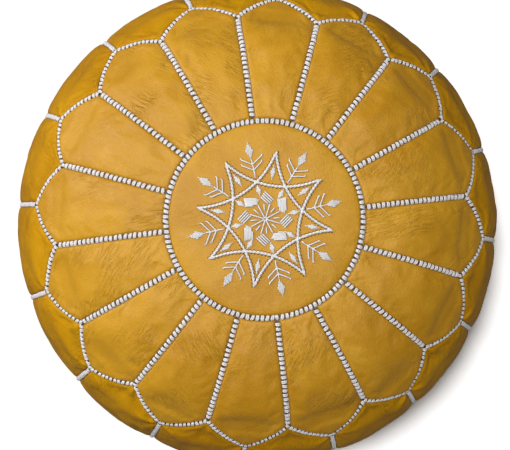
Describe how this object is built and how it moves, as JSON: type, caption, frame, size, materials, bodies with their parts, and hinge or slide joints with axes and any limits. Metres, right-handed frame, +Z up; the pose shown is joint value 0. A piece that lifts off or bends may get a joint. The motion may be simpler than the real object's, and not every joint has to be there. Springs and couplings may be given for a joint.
{
  "type": "leather pouf",
  "caption": "Round stuffed leather pouf with petal-panelled top, embroidered centre medallion, overcast white seams and a zipped base.",
  "frame": {"origin": "on the floor, under the centre of the pouf", "axes": "+Z up through the medallion; the zip in the base runs along X and opens towards -X"},
  "size_m": [0.5376, 0.5376, 0.3312],
  "materials": {
    "leather_top": "matte, tan, fine grain",
    "leather_side": "matte, tan, fine grain",
    "leather_base": "matte, tan, fine grain",
    "seam_thread": "thick twisted thread",
    "embroidery_thread": "silky twisted thread",
    "cotton": "plain woven cotton",
    "wadding": "loose cotton wadding",
    "zip_tape": "woven tape",
    "zip_metal": "tumbled brass",
    "zip_slider_metal": "polished brass",
    "zip_stitch": "fine sewing thread"
  },
  "bodies": {
    "pouf": {"medallion": "leather_top", "petal_01": "leather_top", "petal_02": "leather_top", "petal_03": "leather_top", "petal_04": "leather_top", "petal_05": "leather_top", "petal_06": "leather_top", "petal_07": "leather_top", "petal_08": "leather_top", "petal_09": "leather_top", "petal_10": "leather_top", "petal_11": "leather_top", "petal_12": "leather_top", "petal_13": "leather_top", "petal_14": "leather_top", "petal_15": "leather_top", "petal_16": "leather_top", "side_panel_01": "leather_side", "side_panel_02": "leather_side", "side_panel_03": "leather_side", "side_panel_04": "leather_side", "side_panel_05": "leather_side", "side_panel_06": "leather_side", "side_panel_07": "leather_side", "side_panel_08": "leather_side", "side_panel_09": "leather_side", "side_panel_10": "leather_side", "side_panel_11": "leather_side", "side_panel_12": "leather_side", "side_panel_13": "leather_side", "side_panel_14": "leather_side", "side_panel_15": "leather_side", "side_panel_16": "leather_side", "base_front_half": "leather_base", "base_back_half": "leather_base", "medallion_ring_thread": "seam_thread", "petal_seam_threads": "seam_thread", "scallop_thread": "seam_thread", "side_seam_threads": "seam_thread", "base_ring_thread": "seam_thread", "base_centre_threads": "seam_thread", "embroidery_star": "embroidery_thread", "embroidery_lozenges": "embroidery_thread", "embroidery_blocks": "embroidery_thread", "embroidery_rays": "embroidery_thread", "embroidery_sprigs": "embroidery_thread", "inner_liner": "cotton", "filling": "wadding", "zip_tape_front": "zip_tape", "zip_tape_back": "zip_tape", "zip_teeth_front": "zip_metal", "zip_teeth_back": "zip_metal", "zip_bottom_stop": "zip_metal", "zip_top_stops": "zip_metal", "zip_stitching": "zip_stitch"},
    "zip_slider": {"zip_slider": "zip_slider_metal"},
    "zip_pull": {"zip_pull": "zip_slider_metal"}
  },
  "joints": [
    {"name": "zip_slide", "type": "slide", "parent": "pouf", "child": "zip_slider", "axis": [-1, 0, 0], "range_m": [0, 0.23], "deforming": ["zip_teeth_front", "zip_teeth_back"]},
    {"name": "pull_swing", "type": "hinge", "parent": "zip_slider", "child": "zip_pull", "pos_m": [0.112, 0, 0.0089], "axis": [0, -1, 0], "range_deg": [0, 175]}
  ]
}
